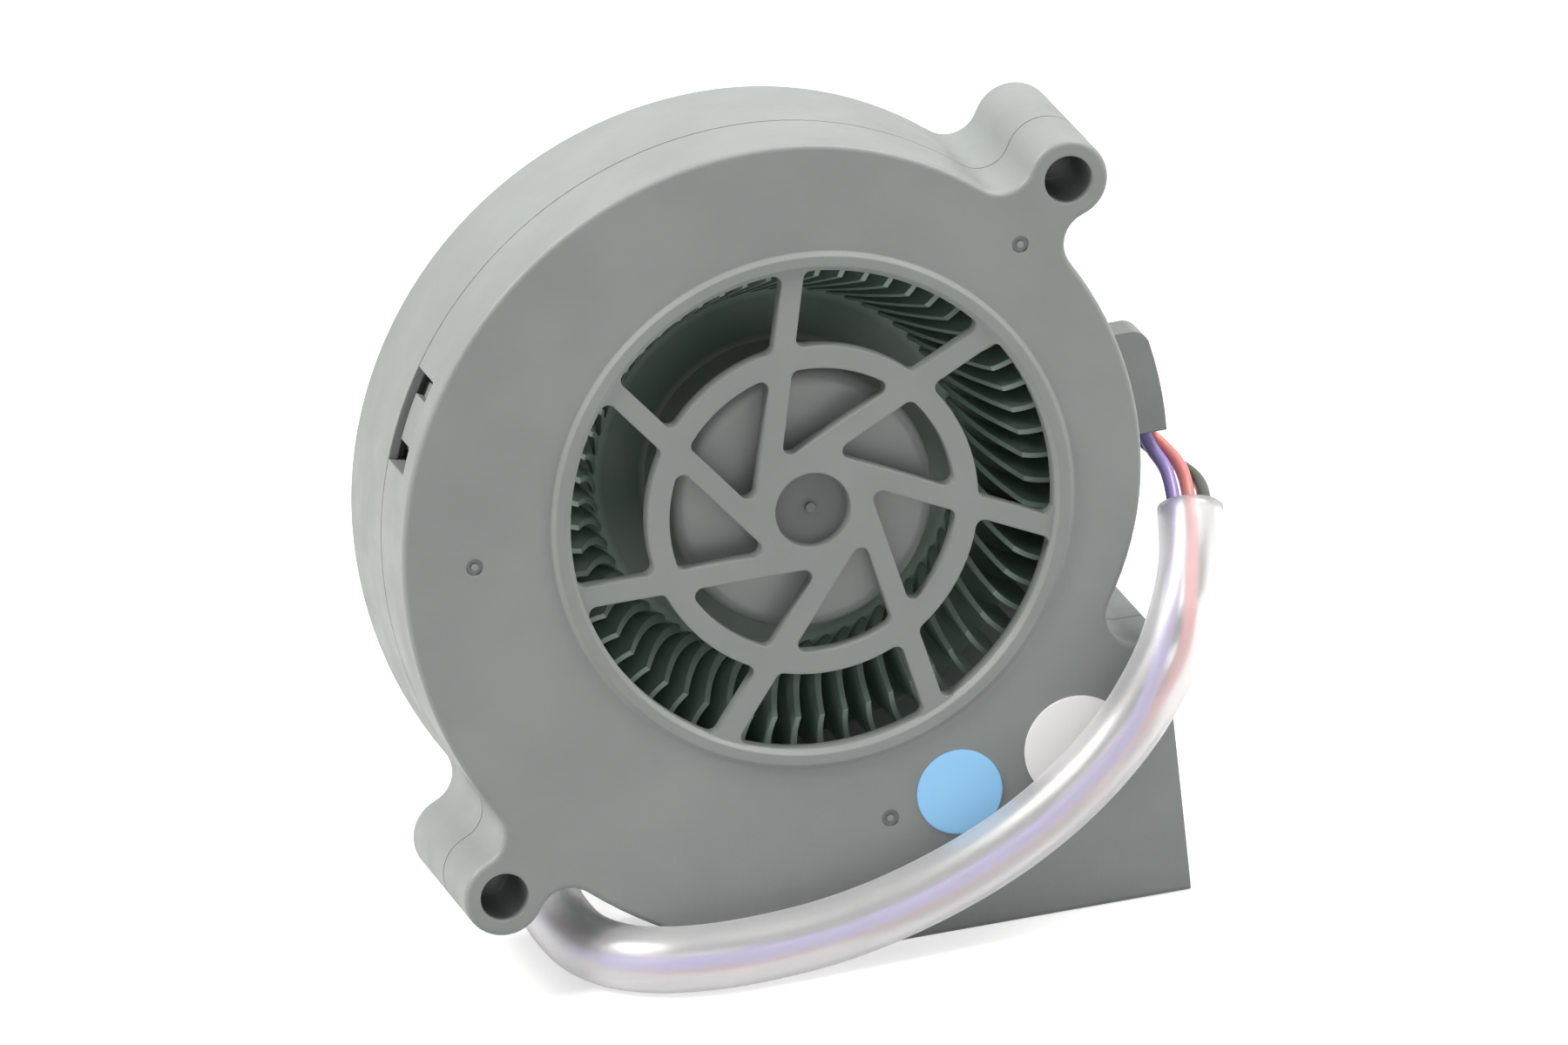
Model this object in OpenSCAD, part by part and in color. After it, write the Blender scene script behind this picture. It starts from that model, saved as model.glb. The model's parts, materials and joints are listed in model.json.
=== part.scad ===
// Small centrifugal blower for a car's cooling duct: a scroll housing in two halves,
// a bladed wheel on a brushless motor, and a sleeved three-wire lead.
// The rotor axis lies along Y, the inlet faces -Y, the outlet faces +X and the fan
// stands on the flat underside of its outlet. The origin is on the axis, at the back face.

/* [Scroll housing] */
// Depth of the housing, from the back face to the front face
housing_depth = 21; // [19.5:0.5:25]
// Depth of the front cover, from the front face to the split
cover_depth = 8.5; // [7:0.5:10]
// Thickness of the side wall
side_wall = 1.8; // [1.4:0.1:2.2]
// Thickness of the front face
front_wall = 1.8; // [1.4:0.1:2.4]
// Thickness of the back wall
back_wall = 1.8; // [1.4:0.1:2.4]
// Distance from the axis to the outside of the scroll at its narrowest
scroll_start = 31.7; // [31:0.1:34]
// How much wider the scroll gets in each quarter turn
scroll_step = 3.8; // [3:0.1:5]
// Radius of the rounded edges round the front and back faces
edge_round = 0.5; // [0.4:0.1:1.3]
// Width of the groove that shows at the split
parting_gap = 0.15; // [0.1:0.05:0.3]

/* [Outlet] */
// Distance from the axis to the rim of the outlet
outlet_reach = 32; // [32:0.5:45]
// Outside height of the outlet
outlet_height = 24.6; // [20:0.2:26]
// Radius of the corner between the scroll and the outlet
throat_round = 3; // [2:0.1:4]

/* [Screw lugs] */
// Outside diameter of a lug
lug_d = 7.6; // [7:0.1:9]
// Diameter of the screw hole
screw_hole_d = 4.6; // [3:0.1:5]
// Upper lug, to the right of the axis
upper_lug_x = 27.4; // [26:0.1:29]
// Upper lug, above the axis
upper_lug_z = 27.4; // [26:0.1:29]
// Lower lug, to the left of the axis
lower_lug_x = -33; // [-35:0.1:-32]
// Lower lug, below the axis
lower_lug_z = -32; // [-34:0.1:-31]
// Radius of the hollow blends between a lug and the scroll
lug_blend = 3; // [2:0.1:4]

/* [Inlet grille] */
// Diameter of the inlet
inlet_d = 46.2; // [44:0.2:48]
// Width of the raised lip round the inlet
lip_w = 1.9; // [1.4:0.1:2.4]
// Height of the lip above the front face
lip_rise = 0.4; // [0.2:0.1:0.8]
// Number of spokes
spoke_count = 7; // [5:1:9]
// Width of a spoke
spoke_w = 2; // [1.4:0.1:2.4]
// Distance from the axis to the middle line of a spoke
spoke_offset = 4.6; // [4:0.1:5]
// Middle diameter of the grille's inner ring
ring_d = 29.5; // [26:0.5:32]
// Width of the grille's inner ring
ring_w = 2.1; // [1.4:0.1:2.6]
// Diameter of the grille's middle disc
middle_d = 11; // [10:0.2:12]
// Diameter of the round recess in the middle disc
recess_d = 7.2; // [5:0.2:8]
// Depth of the recess
recess_depth = 1.2; // [0.6:0.1:1.3]
// Radius of the corners between spokes and rings
spoke_blend = 0.8; // [0.4:0.1:1.2]

/* [Snap latches] */
// Width of a latch's spring tongue
latch_w = 4.6; // [4:0.2:6]
// Length of a latch's window in the cover, from the split
latch_l = 5.6; // [4.8:0.2:5.8]
// Width of the open slot on each side of a tongue
latch_cut = 2.3; // [1.6:0.1:2.6]

/* [Wheel] */
// Number of blades
blade_count = 59; // [41:1:61]
// Thickness of a blade
blade_t = 0.5; // [0.4:0.05:0.6]
// Outside diameter of the wheel
wheel_d = 52.6; // [51:0.2:53]
// Inner diameter of the blades at the front
eye_front_d = 42.6; // [40:0.2:44]
// Inner diameter of the blades at the plate
eye_back_d = 34; // [32:0.2:38]
// Radius of a blade's curve
blade_curve = 7.6; // [7:0.1:8]
// Thickness of the plate that carries the blades
plate_t = 1.2; // [0.8:0.1:1.6]
// Outside diameter of the hub
hub_d = 25; // [24.8:0.1:27]
// Thickness of the hub's front
hub_front_t = 1.3; // [1:0.1:1.8]
// Gap between the wheel and the inside of the front face
wheel_gap = 2.7; // [1.6:0.1:3]
// Gap between the hub and the grille
hub_gap = 1.5; // [1:0.1:2]
// Gap between the plate and the inside of the back wall
plate_gap = 3.5; // [3.4:0.1:4]

/* [Motor] */
// Diameter of the shaft
shaft_d = 2; // [1.8:0.1:2.2]
// Outside diameter of a ball bearing
bearing_d = 5; // [4.8:0.1:5.4]
// Width of a ball bearing
bearing_w = 2.3; // [2:0.1:2.5]
// Number of balls in a bearing
ball_count = 7; // [5:1:8]
// Wall of the bearing tube
tube_wall = 0.8; // [0.6:0.1:1]
// Wall of the steel rotor cup
cup_wall = 0.8; // [0.6:0.1:1]
// Outside diameter of the rotor cup
cup_d = 22.6; // [22:0.1:22.8]
// Thickness of the ring magnet
magnet_t = 1.6; // [1.2:0.1:1.8]
// Air gap between the magnet and the stator
air_gap = 0.4; // [0.3:0.1:0.6]
// Number of stator poles
pole_count = 4; // [4:2:6]
// Width of a pole's arm
pole_w = 2.2; // [1.8:0.1:2.4]
// Height of the lamination stack
core_h = 5; // [4:0.5:5.5]
// Diameter of the circuit board
board_d = 19.6; // [18:0.2:20.6]
// Thickness of the circuit board
board_t = 1; // [0.8:0.1:1.2]

/* [Lead] */
// Diameter of a wire over its insulation
wire_d = 1.3; // [1.1:0.1:1.4]
// Outside diameter of the sleeve
sleeve_d = 6.2; // [5:0.1:6.2]
// Distance between the connector's contacts
contact_pitch = 2; // [1.8:0.1:2.2]

/* [Marks] */
// Diameter of the blue paper dot
blue_dot_d = 8.2; // [6:0.2:10]
// Diameter of the white paper dot
white_dot_d = 10.2; // [8:0.2:11]
// Thickness of a paper dot
dot_t = 0.1; // [0.05:0.01:0.15]

/* [Hidden] */
$fn = 96;

// Clearance between plastic pieces that slide together
fit = 0.1;
// Clearance between rolling or running pieces
running_fit = 0.04;
// How far a cutting shape reaches past the face that it cuts
past = 1;

// The scroll is four quarter arcs about the corners of a small square
half_step = scroll_step / 2;
centres = [[half_step, half_step], [-half_step, half_step],
    [-half_step, -half_step], [half_step, -half_step]];
radii = [for (k = [0:3]) scroll_start - half_step + k * scroll_step];
scroll_bottom = -half_step - radii[3];
outlet_top = scroll_bottom + outlet_height;
outlet_middle = scroll_bottom + outlet_height / 2;
throat = tangent_to_top(centres[0], radii[0] + throat_round, outlet_top + throat_round);
throat_angle = atan2(throat.y - centres[0].y, throat.x - centres[0].x);
// Angle by which the rounded edge runs into the corner at the outlet
edge_lap = 1;
// How far the round of a hollow corner stays clear of the faces beside it
edge_ease = 0.02;

// Levels along the axis, from the back face
split = housing_depth - cover_depth;
front_inside = housing_depth - front_wall;
base_top = split - parting_gap;
rebate_h = 1.5;
half_wall = side_wall / 2;

upper_lug = [upper_lug_x, upper_lug_z];
lower_lug = [lower_lug_x, lower_lug_z];
lug_r = lug_d / 2;

inlet_r = inlet_d / 2;
ring_in = (ring_d - ring_w) / 2;
ring_out = (ring_d + ring_w) / 2;
first_spoke = 180;
spoke_turn = 360 / spoke_count;
gate_nub_r = 0.5;
gate_nub_h = 0.3;

// Ejector marks on the front face
mark_places = [[22.2, 22], [-32.4, 0.2], [4.2, -31]];
mark_r = 0.8;
nub_r = 0.35;
mark_depth = 0.25;

// Latches: the scroll quarter that each is on, and its angle about that quarter's centre
latches = [[2, 155.5], [3, 252], [0, 340]];
tongue_sink = 0.5;
tongue_t = 0.7;
tongue_gap = 0.8;
hook_t = 0.4;
hook_h = 1;
catch_half = 1.6;
catch_h = 1.2;
tab_t = 1.2;
tab_root = 1;
tab_spare = 1.2;
tongue_in = tongue_sink + tongue_t;
hook_top = split + tongue_gap + hook_h;
catch_top = hook_top + fit + catch_h;
tab_face = tongue_in + hook_t + fit;

// Wheel
wheel_r = wheel_d / 2;
hub_r = hub_d / 2;
wheel_front = front_inside - wheel_gap;
hub_front = front_inside - hub_gap;
plate_bottom = back_wall + plate_gap;
hub_round = 1.4;
skirt_in = cup_d / 2 + running_fit;
blade_set = 4.4;
blade_foot = (eye_front_d + eye_back_d) / 4 + blade_set;
blade_sweep = 40;
blade_lead = 60;
rim_ring_w = 1.1;
rim_ring_h = 1.3;

// Rotor: steel cup, ring magnet and the hub's boss
cup_lift = 0.3;
boss_drop = 2;
magnet_lift = 0.4;
magnet_room = 1.1;
cup_r = cup_d / 2;
cup_in = cup_r - cup_wall;
cup_top = hub_front - hub_front_t - running_fit;
cup_bottom = plate_bottom + cup_lift;
boss_r = 2.6;
boss_bottom = cup_top - cup_wall - boss_drop;
magnet_in = cup_in - magnet_t;
magnet_bottom = cup_bottom + magnet_lift;
magnet_top = cup_top - cup_wall - magnet_room;

// Shaft, bearings and the tube that holds them
shaft_end_gap = 0.5;
shaft_hold = 0.2;
washer_w = 0.4;
washer_t = 0.3;
bearing_lift = 1.8;
race_share = 0.4;
groove_share = 0.75;
shoulder_w = 0.4;
clip_t = 0.4;
clip_spare = 0.2;
clip_room = clip_t + clip_spare;
clip_groove = 0.25;
clip_w = 0.45;
clip_mouth = 0.8;
shaft_r = shaft_d / 2;
shaft_bottom = back_wall + shaft_end_gap;
shaft_top = hub_front - hub_front_t + shaft_hold;
bearing_r = bearing_d / 2;
tube_r = bearing_r + tube_wall;
front_bearing_base = boss_bottom - washer_t - bearing_w;
rear_bearing_base = back_wall + bearing_lift;
tube_top = front_bearing_base + bearing_w - fit;
shoulder_r = bearing_r - shoulder_w;
race_gap = (bearing_r - shaft_r) * race_share;
race_middle = (bearing_r + shaft_r) / 2;
race_groove_r = race_gap * groove_share;
clip_base = rear_bearing_base - clip_t;
clip_r = shaft_r + clip_w;

// Stator and circuit board
seat_wall = 1.9;
board_lift = 1.4;
insulator_t = 0.7;
core_hub_w = 1.4;
shoe_t = 1.3;
shoe_spare = 7;
shoe_half = 180 / pole_count - shoe_spare;
coil_t = 0.8;
pin_r = 0.25;
first_arm = 45;
first_pin = 90 - shoe_half / 2;
seat_r = tube_r + seat_wall;
board_base = back_wall + board_lift;
board_top = board_base + board_t;
core_r = magnet_in - air_gap;
core_bottom = (magnet_bottom + magnet_top - core_h) / 2;
core_top = core_bottom + core_h;
core_hub_r = tube_r + core_hub_w;
shoe_in = core_r - shoe_t;
pin_ring = shoe_in + shoe_t / 2;

// Pieces on the circuit board: corner in the board's plan, and size
chip_place = [-7.4, -1.6];
chip_size = [2.8, 3.2, 0.7];
sensor_place = [-0.9, 7.4];
sensor_size = [1.8, 1.4, 0.7];
small_parts = [[-1, -6.6], [-1, -8.2], [4.6, -4]];
small_part_size = [1.8, 1, 0.6];

// Trough for the wires on the back, and the hood that they leave by
trough_z = 3.2;
wire_space = 0.15;
trough_spare = 0.3;
wire_pitch = wire_d + wire_space;
trough_w = 2 * wire_pitch + wire_d + 2 * trough_spare;
lead_x = 8;
lead_stub = 1;
lead_bend = 1.4;
lead_hole_l = wire_d + lead_bend;
lead_rise = 30.5;
trough_depth = wire_d + trough_spare;
trough_roof = 0.9;
trough_start = 7;
hood_reach = 4.5;
hood_r = scroll_start + hood_reach;
hood_depth = 4;
hood_wall = 1;
hood_top = 9;
hood_bottom = -1;
hood_round = 1.8;
hood_corner = [sqrt(pow(hood_r - hood_round, 2) - pow(hood_top - hood_round, 2)), hood_top - hood_round];

// Routes of the free lead, in the part's own frame
sleeve_route = [[36.4, -17.8, -7.2], [35.3, -21, -11], [33.4, -23.4, -15], [30.8, -24.6, -19.6],
    [26.6, -24.6, -25.2], [21, -24.5, -30.2], [14.2, -24.5, -34.3], [6.4, -24.5, -37.4],
    [-2, -24.6, -39.4], [-10.2, -24.9, -40], [-17, -24.2, -40], [-21.8, -21, -40], [-24.4, -15.4, -40],
    [-25, -8, -40], [-24.4, 0.4, -40], [-22, 8.4, -40], [-17.4, 15.4, -40], [-11, 20.4, -40],
    [-3.6, 23.2, -40], [0.4, 23.8, -40]];
sleeve_start = sleeve_route[0];
sleeve_end = sleeve_route[len(sleeve_route) - 1];
start_dir = unit(sleeve_route[1] - sleeve_start);
end_dir = unit(sleeve_end - sleeve_route[len(sleeve_route) - 2]);
wire_stop = 0.05;
hood_routes = [
    [[33.6, -0.9, 4.6], [33.8, -4, 4.6], [34, -8, 4.2], [34.1, -10, 2], [34.3, -10.4, -1],
        [34.8, -11.2, -2.8], [35.4, -14, -4.5]],
    [[33.6, -0.9, 3.2], [33.8, -3.6, 3.1], [33.9, -6.6, 2.2], [34, -8.4, -0.8], [35.8, -10.4, -2.8],
        [36.9, -13.4, -4.6]],
    [[33.6, -0.9, 1.8], [33.7, -2.8, 1.6], [33.7, -4.8, 0.2], [34, -6.2, -1.8], [35.6, -8.6, -4],
        [38.2, -13, -5.8]]];
wire_rows = [1, 0, -1];
floor_z = scroll_bottom;
connector_x = 9;
connector_y = 24.6;
connector_l = 9;
connector_h = 4.8;
connector_side = 1;
connector_w = 3 * contact_pitch + 2 * connector_side;
connector_back = 2;
ramp = [4, 2, 0.6];
slot_wall = 0.7;
contact_s = contact_pitch - slot_wall;
contact_short = 3;
contact_l = connector_l - contact_short;
contact_t = 0.2;
plug_run = 3;

// Middles of the paper dots, from the axis and up from the outlet's underside
blue_dot_x = 11;
blue_dot_up = 13.5;
white_dot_x = 22.6;
white_dot_up = 15.7;

function unit(v) = v / norm(v);

// Centre of a circle that touches an arc from outside and stands on a level line
function tangent_to_top(centre, reach, level) =
    [centre.x + sqrt(reach * reach - (level - centre.y) * (level - centre.y)), level];

// Where two circles cross, on the side given by the sign
function crossing(c1, r1, c2, r2, side) =
    let (d = norm(c2 - c1), along = (r1 * r1 - r2 * r2 + d * d) / (2 * d),
        across = sqrt(r1 * r1 - along * along), u = (c2 - c1) / d)
    c1 + along * u + side * across * [-u.y, u.x];

// Middles of the two hollow blends between a lug and its scroll quarter
function lug_blends(place, k) = [for (s = [-1, 1])
    crossing(centres[k], radii[k] + lug_blend, place, lug_r + lug_blend, s)];

// Where an edge of a spoke meets one of the next spoke, given by their distances from the axis
function edge_meeting(own, next, turn) = [(own * cos(turn) - next) / sin(turn), own];

// A route's direction at one of its points
function heading(route, i) =
    unit(route[min(i + 1, len(route) - 1)] - route[max(i - 1, 0)]);

// A side direction carried along a route without twist
function side_dir(route, i) =
    let (t = heading(route, i), before = i == 0 ? [0.3, 0.2, 1] : side_dir(route, i - 1))
    unit(before - t * (before * t));

// Level direction across a route
function across(dir) = unit(cross(dir, [0, 0, 1]));

// Turns the fan upright: its own plan becomes X and Z, and its height becomes -Y
module upright() {
    rotate([90, 0, 0]) children();
}

module ring_2d(r_out, r_in) {
    difference() {
        circle(r_out);
        circle(r_in);
    }
}

module tube(r_out, r_in, h) {
    linear_extrude(h) ring_2d(r_out, r_in);
}

// A quarter disc with its corner at the origin
module quarter_disc(r) {
    intersection() {
        circle(r);
        square(r);
    }
}

// A round tube along a route, as one closed surface
module cord(route, d, sides) {
    last = len(route) - 1;
    rings = [for (i = [0:last], s = [0:sides - 1])
        let (t = heading(route, i), n = side_dir(route, i), b = cross(t, n), a = 360 * s / sides)
        route[i] + d / 2 * (cos(a) * n + sin(a) * b)];
    walls = [for (i = [0:last - 1], s = [0:sides - 1], half = [0, 1])
        let (p = i * sides + s, q = i * sides + (s + 1) % sides)
        half == 0 ? [p, p + sides, q] : [q, p + sides, q + sides]];
    near_end = [for (s = [0:sides - 1]) s];
    far_end = [for (s = [sides - 1:-1:0]) last * sides + s];
    polyhedron(points = rings, faces = concat([near_end, far_end], walls));
}

// Plan of the scroll and outlet, drawn in by an even amount
module scroll_outline(inset, reach) {
    for (k = [0:3])
        translate(centres[k]) intersection() {
            circle(radii[k] - inset);
            rotate(90 * (k - 1)) square(radii[k]);
        }
    square(scroll_step, center = true);
    translate([half_step, scroll_bottom + inset])
        square([reach - half_step, outlet_height - 2 * inset]);
    difference() {
        polygon([centres[0], throat, [throat.x, outlet_middle], [half_step, outlet_middle]]);
        translate(throat) circle(throat_round + inset);
    }
}

// Rounded edge round the top of a scroll block
module scroll_edge(height) {
    for (k = [0:3])
        translate(centres[k])
            rotate_extrude(angle = k == 0 ? edge_lap - throat_angle : 90,
                start = k == 0 ? throat_angle - edge_lap : 90 * (k - 1))
                translate([radii[k] - edge_round, height - edge_round]) quarter_disc(edge_round);
    translate([half_step, scroll_bottom + edge_round, height - edge_round])
        rotate([90, 0, 90]) linear_extrude(outlet_reach - half_step)
            mirror([1, 0]) quarter_disc(edge_round);
    translate([throat.x, outlet_top - edge_round, height - edge_round])
        rotate([90, 0, 90]) linear_extrude(outlet_reach - throat.x) quarter_disc(edge_round);
}

// Scroll block with its top edge rounded, except in the corner at the outlet
module scroll_block(height) {
    linear_extrude(height - edge_round) scroll_outline(0, outlet_reach);
    linear_extrude(height) difference() {
        scroll_outline(0, outlet_reach);
        for (k = [0:3])
            translate(centres[k]) intersection() {
                ring_2d(radii[k] + past, radii[k] - edge_round);
                if (k == 0) quarter_sector(throat_angle, radii[0] + past);
                else rotate(90 * (k - 1)) square(radii[k] + past);
            }
        translate([half_step, scroll_bottom - past])
            square([outlet_reach - half_step + past, edge_round + past]);
        translate([throat.x, outlet_top - edge_round])
            square([outlet_reach - throat.x + past, edge_round + past]);
    }
    scroll_edge(height);
}

// Half of the shell, open on its flat side: scroll, outlet and lugs with a rounded edge all round
module shell_block(height) {
    difference() {
        union() {
            scroll_block(height);
            lug(upper_lug, 1, height);
            lug(lower_lug, 3, height);
        }
        translate(throat) hollow_edge(throat_round, height);
        for (b = concat(lug_blends(upper_lug, 1), lug_blends(lower_lug, 3)))
            translate(b) hollow_edge(lug_blend, height);
    }
}

// Cutter that rounds the top edge of a hollow corner about its middle
module hollow_edge(r, height) {
    rotate_extrude() difference() {
        translate([r - past, height - edge_round])
            square([past + edge_round - edge_ease, edge_round + past]);
        translate([r + edge_round - edge_ease, height - edge_round]) circle(edge_round);
    }
}

// Sector between a falling angle and the level line to the right
module quarter_sector(angle, r) {
    polygon([[0, 0], [2 * r, 0], [2 * r, 2 * r * tan(angle)]]);
}

// Round screw lug with its top edge rounded, and a web with hollow blends to its scroll quarter
module lug(place, k, height) {
    blends = lug_blends(place, k);
    translate(place) rotate_extrude() {
        square([lug_r, height - edge_round]);
        square([lug_r - edge_round, height]);
        translate([lug_r - edge_round, height - edge_round]) quarter_disc(edge_round);
    }
    linear_extrude(height) difference() {
        polygon([centres[k], blends[0], place, blends[1]]);
        for (b = blends) translate(b) circle(lug_blend);
    }
}

module screw_holes() {
    for (p = [upper_lug, lower_lug])
        translate([p.x, p.y, -past]) cylinder(h = housing_depth + 2 * past, d = screw_hole_d);
}

// Piece of a scroll wall beside a latch, given by depths in from the outside
module latch_piece(latch, half_w, deep, shallow, low, high) {
    r = radii[latch[0]];
    half_angle = half_w / r * 180 / PI;
    translate(centres[latch[0]])
        rotate_extrude(angle = 2 * half_angle, start = latch[1] - half_angle)
            translate([r - deep, low]) square([deep - shallow, high - low]);
}

module front_cover() {
    color("slategray") upright() {
        difference() {
            union() {
                translate([0, 0, split]) shell_block(cover_depth);
                cover_rebate();
            }
            translate([0, 0, split - rebate_h - past])
                linear_extrude(front_inside - split + rebate_h + past)
                    scroll_outline(side_wall, outlet_reach + past);
            translate([0, 0, split]) cylinder(h = cover_depth + past, r = inlet_r + lip_w / 2);
            screw_holes();
            for (p = mark_places)
                translate([p.x, p.y, housing_depth - mark_depth])
                    linear_extrude(past) ring_2d(mark_r, nub_r);
            for (l = latches) latch_window(l);
        }
        rotate_extrude() lip_profile();
        grille();
        for (l = latches) latch_tongue(l);
    }
}

// Cross-section of the raised lip round the inlet
module lip_profile() {
    top = housing_depth + lip_rise;
    slope = lip_w / 4;
    polygon([[inlet_r, front_inside], [inlet_r, top - slope], [inlet_r + slope, top],
        [inlet_r + lip_w - slope, top], [inlet_r + lip_w, housing_depth],
        [inlet_r + lip_w, front_inside]]);
}

// Lip inside the split that centres the cover in the base
module cover_rebate() {
    translate([0, 0, split - rebate_h])
        linear_extrude(rebate_h + past / 2) scroll_outline(half_wall + fit, outlet_reach);
}

// Window in the cover's wall round a tongue
module latch_window(latch) {
    latch_piece(latch, latch_w / 2 + latch_cut, side_wall + past, -past, split - rebate_h - past,
        split + latch_l);
}

// Spring tongue that hangs from the window's front edge, with a hook inside its free end
module latch_tongue(latch) {
    latch_piece(latch, latch_w / 2, tongue_in, tongue_sink, split + tongue_gap,
        split + latch_l + past / 2);
    latch_piece(latch, catch_half, tongue_in + hook_t, tongue_in - tongue_t / 2, split + tongue_gap,
        hook_top);
}

// Tab on the base's wall, with a catch that holds a tongue's hook
module latch_tab(latch) {
    latch_piece(latch, latch_w / 2 + tab_spare, tab_face + tab_t, tab_face,
        split - rebate_h - tab_root, catch_top);
    latch_piece(latch, catch_half, tab_face + tab_t / 2, tongue_in + fit, hook_top + fit, catch_top);
}

// Flat spider over the inlet
module grille() {
    difference() {
        translate([0, 0, front_inside]) linear_extrude(front_wall) {
            ring_2d(ring_out, ring_in);
            circle(d = middle_d);
            for (i = [0:spoke_count - 1]) rotate(first_spoke + spoke_turn * i) {
                spoke();
                spoke_corner();
            }
        }
        translate([0, 0, housing_depth - recess_depth]) cylinder(h = recess_depth + past, d = recess_d);
    }
    translate([0, 0, front_inside]) cylinder(h = front_wall - recess_depth + gate_nub_h, r = gate_nub_r);
}

// One spoke, offset from the axis, with rounded corners where it meets the rings
module spoke() {
    translate([0, spoke_offset - spoke_w / 2]) square([inlet_r + lip_w / 2, spoke_w]);
    for (side = [-1, 1]) {
        edge = spoke_offset + side * spoke_w / 2;
        corner_fill(edge, side, inlet_r, -1);
        corner_fill(edge, side, ring_out, 1);
        corner_fill(edge, side, ring_in, -1);
    }
}

// Fill of the sharp corner between a spoke and the next one, hollowed to a round blend
module spoke_corner() {
    own = spoke_offset + spoke_w / 2;
    next = spoke_offset - spoke_w / 2;
    sink = spoke_blend / 4;
    middle = edge_meeting(own + spoke_blend, next - spoke_blend, spoke_turn);
    across_next = [-sin(spoke_turn), cos(spoke_turn)];
    difference() {
        polygon([[middle.x, own - sink], middle, middle + (spoke_blend + sink) * across_next,
            edge_meeting(own - sink, next + sink, spoke_turn)]);
        translate(middle) circle(spoke_blend - edge_ease);
    }
}

// Fill of the corner between a straight edge and a circle, hollowed to a round blend
module corner_fill(edge, side, r, outside) {
    level = edge + side * spoke_blend;
    reach = r + outside * spoke_blend;
    middle = [sqrt(reach * reach - level * level), level];
    corner = [sqrt(r * r - edge * edge), edge];
    inner = [corner.x - outside * spoke_blend / 4, edge - side * spoke_blend / 4];
    difference() {
        polygon([[middle.x, inner.y], middle, middle * (r - outside * spoke_blend / 4) / reach, inner]);
        translate(middle) circle(spoke_blend);
    }
}

module rear_housing() {
    color("dimgray") upright() {
        difference() {
            union() {
                translate([0, 0, base_top]) mirror([0, 0, 1]) shell_block(base_top);
                wire_hood();
            }
            difference() {
                translate([0, 0, back_wall]) linear_extrude(split - back_wall + past)
                    scroll_outline(side_wall, outlet_reach + past);
                motor_seat();
                trough_cover();
            }
            translate([0, 0, split - rebate_h]) linear_extrude(rebate_h + past)
                scroll_outline(half_wall, outlet_reach + past);
            screw_holes();
            wire_trough();
            wire_hood_inside();
        }
        for (l = latches) latch_tab(l);
    }
}

// Ring that the bearing tube stands in and the circuit board rests on
module motor_seat() {
    translate([0, 0, back_wall]) tube(seat_r, tube_r, board_base - back_wall);
}

// Inside roof over the wire trough
module trough_cover() {
    translate([trough_start - trough_roof, trough_z - trough_w / 2 - trough_roof, 0])
        cube([scroll_start - trough_start, trough_w + 2 * trough_roof, trough_depth + trough_roof]);
}

module wire_trough() {
    translate([trough_start, trough_z - trough_w / 2, -past])
        cube([hood_r - hood_wall - trough_start, trough_w, trough_depth + past]);
    translate([trough_start, trough_z - trough_w / 2, -past])
        cube([lead_hole_l, trough_w, board_base + past]);
}

// Hood on the side of the scroll, open below and at the back, with a rounded upper corner
module wire_hood() {
    translate([0, 0, split - hood_depth]) linear_extrude(hood_depth) difference() {
        hood_plan(0);
        translate(hood_corner) difference() {
            polygon([[0, 0], [0, 2 * hood_round], [2 * hood_round, 2 * hood_round],
                2 * hood_round * unit(hood_corner)]);
            circle(hood_round + edge_ease);
        }
    }
}

module hood_plan(inset) {
    intersection() {
        ring_2d(hood_r - inset, scroll_start - side_wall);
        translate([0, hood_bottom - (inset > 0 ? past : 0)])
            square([hood_r, hood_top - hood_bottom - inset + (inset > 0 ? past : 0)]);
    }
}

module wire_hood_inside() {
    translate([0, 0, -past]) linear_extrude(split - hood_wall + past) difference() {
        hood_plan(hood_wall);
        scroll_outline(0, outlet_reach);
    }
}

module impeller() {
    color("darkslategray") upright() {
        wheel_hub();
        translate([0, 0, plate_bottom]) tube(wheel_r, (hub_r + skirt_in) / 2, plate_t);
        translate([0, 0, wheel_front - rim_ring_h]) tube(wheel_r, wheel_r - rim_ring_w, rim_ring_h);
        intersection() {
            for (i = [0:blade_count - 1]) rotate(360 * i / blade_count) blade();
            rotate_extrude() polygon([[eye_back_d / 2, plate_bottom + plate_t / 2],
                [eye_front_d / 2, wheel_front], [wheel_r, wheel_front],
                [wheel_r, plate_bottom + plate_t / 2]]);
        }
    }
}

// Forward-curved blade: an upright arc strip that is trimmed by the wheel's section
module blade() {
    translate([blade_foot, blade_curve])
        rotate_extrude(angle = blade_sweep + blade_lead, start = -90 - blade_lead)
            translate([blade_curve - blade_t / 2, plate_bottom])
                square([blade_t, housing_depth - plate_bottom]);
}

module wheel_hub() {
    rotate_extrude() difference() {
        union() {
            translate([0, plate_bottom]) square([hub_r, hub_front - hub_round - plate_bottom]);
            translate([0, hub_front - hub_round]) square([hub_r - hub_round, hub_round]);
            translate([hub_r - hub_round, hub_front - hub_round]) quarter_disc(hub_round);
        }
        translate([boss_r, plate_bottom - past])
            square([skirt_in - boss_r, hub_front - hub_front_t - plate_bottom + past]);
        translate([-past, plate_bottom - past])
            square([boss_r + 2 * past, boss_bottom - plate_bottom + past]);
        translate([-past, plate_bottom - past]) square([shaft_r + past, shaft_top - plate_bottom + past]);
    }
}

module rotor_cup() {
    color("silver") upright() rotate_extrude() difference() {
        translate([0, cup_bottom]) square([cup_r, cup_top - cup_bottom]);
        translate([-past, cup_bottom - past])
            square([cup_in + past, cup_top - cup_wall - cup_bottom + past]);
        translate([-past, cup_bottom - past]) square([boss_r + running_fit + past, cup_top]);
    }
}

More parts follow.
